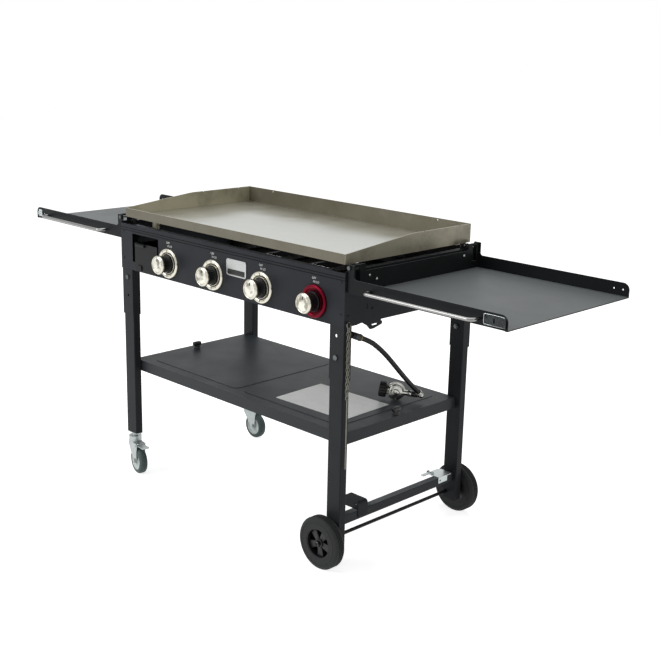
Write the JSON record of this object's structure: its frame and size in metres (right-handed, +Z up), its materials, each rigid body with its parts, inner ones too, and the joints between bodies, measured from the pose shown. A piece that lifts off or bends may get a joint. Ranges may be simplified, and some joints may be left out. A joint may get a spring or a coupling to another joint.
{
  "type": "outdoor gas griddle station",
  "caption": "Wheeled outdoor gas griddle station with a walled steel cooking plate over burners, fold-over side shelves, control knobs and an open lower shelf.",
  "frame": {"origin": "on the floor, under the middle of the whole station with its side shelves open", "axes": "+X along the width towards the wheel end, +Y towards the rear so the control panel faces -Y, +Z up"},
  "size_m": [1.953, 0.612, 0.8785],
  "materials": {
    "black_steel": "satin black powder coat",
    "plate_steel": "oiled plain steel with an olive tint",
    "burner_steel": "pressed stainless",
    "plated": "bright plate",
    "red_plate": "dark red bright plate",
    "zinc": "dull zinc plate",
    "black_plastic": "moulded, satin",
    "tyre_rubber": "matt",
    "caster_rubber": "grey rubber, matt",
    "brass": "turned",
    "hose_rubber": "smooth black hose",
    "pale_sheet": "blank pale sheet"
  },
  "bodies": {
    "stand": {"badge_plate": "plated", "bottom_rail": "black_steel", "bottom_shelf": "black_steel", "burner_bearers": "black_steel", "burners": "burner_steel", "care_sheet": "pale_sheet", "caster_stems": "zinc", "front_panel": "black_steel", "gas_hose": "hose_rubber", "gas_manifold": "black_steel", "gas_valves": "brass", "griddle_plate": "plate_steel", "hinge_bolts": "zinc", "knob_bezel_red": "red_plate", "knob_bezels": "plated", "leg_bolts": "black_steel", "leg_front_left": "black_steel", "leg_front_right": "black_steel", "leg_rear_left": "black_steel", "leg_rear_right": "black_steel", "leg_sleeves": "black_steel", "plate_feet": "black_plastic", "rear_panel": "black_steel", "regulator": "zinc", "shelf_rails": "black_steel", "side_panel_left": "black_steel", "side_panel_right": "black_steel", "tank_bracket": "black_steel", "tank_clamp": "zinc", "wheel_axle": "black_steel"},
    "valve_stem_1": {"valve_stem_1": "brass"},
    "knob_1": {"knob_1": "black_plastic"},
    "valve_stem_2": {"valve_stem_2": "brass"},
    "knob_2": {"knob_2": "black_plastic"},
    "valve_stem_3": {"valve_stem_3": "brass"},
    "knob_3": {"knob_3": "black_plastic"},
    "valve_stem_4": {"valve_stem_4": "brass"},
    "knob_4": {"knob_4": "black_plastic"},
    "grease_cup": {"grease_cup": "black_steel"},
    "wheel_front": {"tyre_front": "tyre_rubber", "hub_front": "black_plastic"},
    "wheel_rear": {"tyre_rear": "tyre_rubber", "hub_rear": "black_plastic"},
    "caster_front": {"caster_fork_front": "zinc"},
    "caster_wheel_front": {"caster_wheel_front": "caster_rubber"},
    "caster_rear": {"caster_fork_rear": "zinc"},
    "caster_wheel_rear": {"caster_wheel_rear": "caster_rubber"},
    "brake_pedal": {"brake_pedal": "zinc"},
    "shelf_right": {"side_shelf_right": "black_steel", "towel_bar_right": "plated", "hasp_base": "zinc"},
    "shelf_left": {"side_shelf_left": "black_steel", "towel_bar_left": "plated", "hasp_hook": "zinc"},
    "hasp_leaf": {"hasp_leaf": "zinc"},
    "shelf_latch_left": {"shelf_latch_left": "black_plastic"},
    "shelf_latch_right": {"shelf_latch_right": "black_plastic"},
    "tank_clamp_lever": {"tank_clamp_lever": "zinc"},
    "regulator_handwheel": {"regulator_handwheel": "black_plastic"},
    "lighting_rod": {"lighting_rod": "zinc"}
  },
  "joints": [
    {"name": "knob_1_push", "type": "slide", "parent": "stand", "child": "valve_stem_1", "axis": [0, 1, 0], "range_m": [0, 0.003], "stiffness_N_per_m": 1200},
    {"name": "knob_1_turn", "type": "hinge", "parent": "valve_stem_1", "child": "knob_1", "pos_m": [-0.242, -0.285, 0.717], "axis": [0, -1, 0], "range_deg": [0, 165]},
    {"name": "knob_2_push", "type": "slide", "parent": "stand", "child": "valve_stem_2", "axis": [0, 1, 0], "range_m": [0, 0.003], "stiffness_N_per_m": 1200},
    {"name": "knob_2_turn", "type": "hinge", "parent": "valve_stem_2", "child": "knob_2", "pos_m": [-0.037, -0.285, 0.717], "axis": [0, -1, 0], "range_deg": [0, 165]},
    {"name": "knob_3_push", "type": "slide", "parent": "stand", "child": "valve_stem_3", "axis": [0, 1, 0], "range_m": [0, 0.003], "stiffness_N_per_m": 1200},
    {"name": "knob_3_turn", "type": "hinge", "parent": "valve_stem_3", "child": "knob_3", "pos_m": [0.168, -0.285, 0.717], "axis": [0, -1, 0], "range_deg": [0, 165]},
    {"name": "knob_4_push", "type": "slide", "parent": "stand", "child": "valve_stem_4", "axis": [0, 1, 0], "range_m": [0, 0.003], "stiffness_N_per_m": 1200},
    {"name": "knob_4_turn", "type": "hinge", "parent": "valve_stem_4", "child": "knob_4", "pos_m": [0.373, -0.285, 0.717], "axis": [0, -1, 0], "range_deg": [0, 165]},
    {"name": "grease_cup_slide", "type": "slide", "parent": "stand", "child": "grease_cup", "axis": [0, -1, 0], "range_m": [0, 0.09]},
    {"name": "wheel_front_spin", "type": "hinge", "parent": "stand", "child": "wheel_front", "pos_m": [0.442, -0.2843, 0.073], "axis": [0, 1, 0], "continuous": true},
    {"name": "wheel_rear_spin", "type": "hinge", "parent": "stand", "child": "wheel_rear", "pos_m": [0.442, 0.2843, 0.073], "axis": [0, 1, 0], "continuous": true},
    {"name": "caster_front_swivel", "type": "hinge", "parent": "stand", "child": "caster_front", "pos_m": [-0.4538, -0.2453, 0.11], "axis": [0, 0, 1], "continuous": true},
    {"name": "caster_front_roll", "type": "hinge", "parent": "caster_front", "child": "caster_wheel_front", "pos_m": [-0.42739, -0.25091, 0.043], "axis": [0.2079, 0.9781, 0], "continuous": true},
    {"name": "brake_pedal_press", "type": "hinge", "parent": "caster_front", "child": "brake_pedal", "pos_m": [-0.41859, -0.25278, 0.094], "axis": [0.2079, 0.9781, 0], "range_deg": [0, 10]},
    {"name": "caster_rear_swivel", "type": "hinge", "parent": "stand", "child": "caster_rear", "pos_m": [-0.4538, 0.2453, 0.11], "axis": [0, 0, 1], "continuous": true},
    {"name": "caster_rear_roll", "type": "hinge", "parent": "caster_rear", "child": "caster_wheel_rear", "pos_m": [-0.4268, 0.2453, 0.043], "axis": [0, 1, 0], "continuous": true},
    {"name": "shelf_right_fold", "type": "hinge", "parent": "stand", "child": "shelf_right", "pos_m": [0.489, 0, 0.822], "axis": [0, -1, 0], "range_deg": [0, 180]},
    {"name": "shelf_left_fold", "type": "hinge", "parent": "stand", "child": "shelf_left", "pos_m": [-0.489, 0, 0.822], "axis": [0, 1, 0], "range_deg": [0, 180]},
    {"name": "hasp_leaf_swing", "type": "hinge", "parent": "shelf_right", "child": "hasp_leaf", "pos_m": [0.9715, -0.2575, 0.776], "axis": [0, 0, 1], "range_deg": [0, 180]},
    {"name": "shelf_latch_left_turn", "type": "hinge", "parent": "stand", "child": "shelf_latch_left", "pos_m": [-0.427, -0.012, 0.377], "axis": [0, 0, 1], "range_deg": [0, 90]},
    {"name": "shelf_latch_right_turn", "type": "hinge", "parent": "stand", "child": "shelf_latch_right", "pos_m": [0.4495, -0.012, 0.377], "axis": [0, 0, 1], "range_deg": [0, 90]},
    {"name": "tank_clamp_lift", "type": "hinge", "parent": "stand", "child": "tank_clamp_lever", "pos_m": [0.43, 0.17, 0.1445], "axis": [-1, 0, 0], "range_deg": [0, 80]},
    {"name": "handwheel_turn", "type": "hinge", "parent": "stand", "child": "regulator_handwheel", "pos_m": [0.341, 0.062, 0.40214], "axis": [0.8147, 0.5704, -0.1045], "continuous": true},
    {"name": "lighting_rod_swing", "type": "hinge", "parent": "stand", "child": "lighting_rod", "pos_m": [0.4855, -0.248, 0.677], "axis": [1, 0, 0], "range_deg": [-25, 25]}
  ]
}
